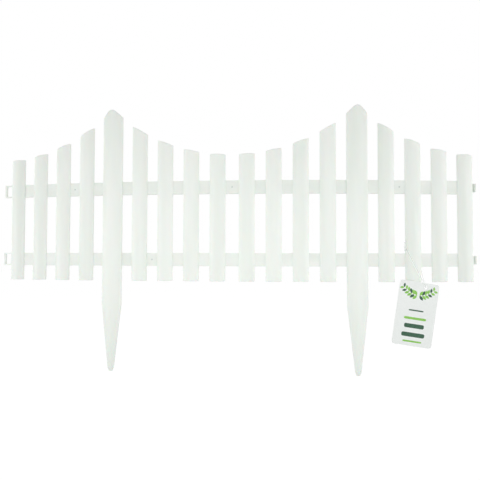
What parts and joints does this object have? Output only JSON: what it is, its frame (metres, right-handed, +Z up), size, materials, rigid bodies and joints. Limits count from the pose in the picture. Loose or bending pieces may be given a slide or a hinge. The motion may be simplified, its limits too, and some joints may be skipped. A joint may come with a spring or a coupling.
{
  "type": "picket fence panel",
  "caption": "Bowed white plastic picket fence panel with a scalloped top, spiked posts to push into soil, and rail-end loops and hooks that link panels in a run.",
  "frame": {"origin": "centre of the flat tip of the left post's spike", "axes": "+X along the panel from the loop end to the hook end, -Y out of the arched front, +Z up"},
  "size_m": [0.597, 0.0354, 0.3225],
  "materials": {
    "white_polypropylene": "satin",
    "coated_card": "satin",
    "clear_nylon": "gloss"
  },
  "bodies": {
    "root": {"picket_01": "white_polypropylene", "picket_02": "white_polypropylene", "picket_03": "white_polypropylene", "picket_04": "white_polypropylene", "picket_05": "white_polypropylene", "picket_06": "white_polypropylene", "picket_07": "white_polypropylene", "picket_08": "white_polypropylene", "picket_09": "white_polypropylene", "picket_10": "white_polypropylene", "picket_11": "white_polypropylene", "picket_12": "white_polypropylene", "picket_13": "white_polypropylene", "picket_14": "white_polypropylene", "picket_15": "white_polypropylene", "picket_16": "white_polypropylene", "left_post": "white_polypropylene", "right_post": "white_polypropylene", "lower_rail": "white_polypropylene", "upper_rail": "white_polypropylene", "lower_loop": "white_polypropylene", "upper_loop": "white_polypropylene", "lower_hook": "white_polypropylene", "upper_hook": "white_polypropylene", "swing_tag": "coated_card", "tag_tie": "clear_nylon"}
  },
  "joints": []
}
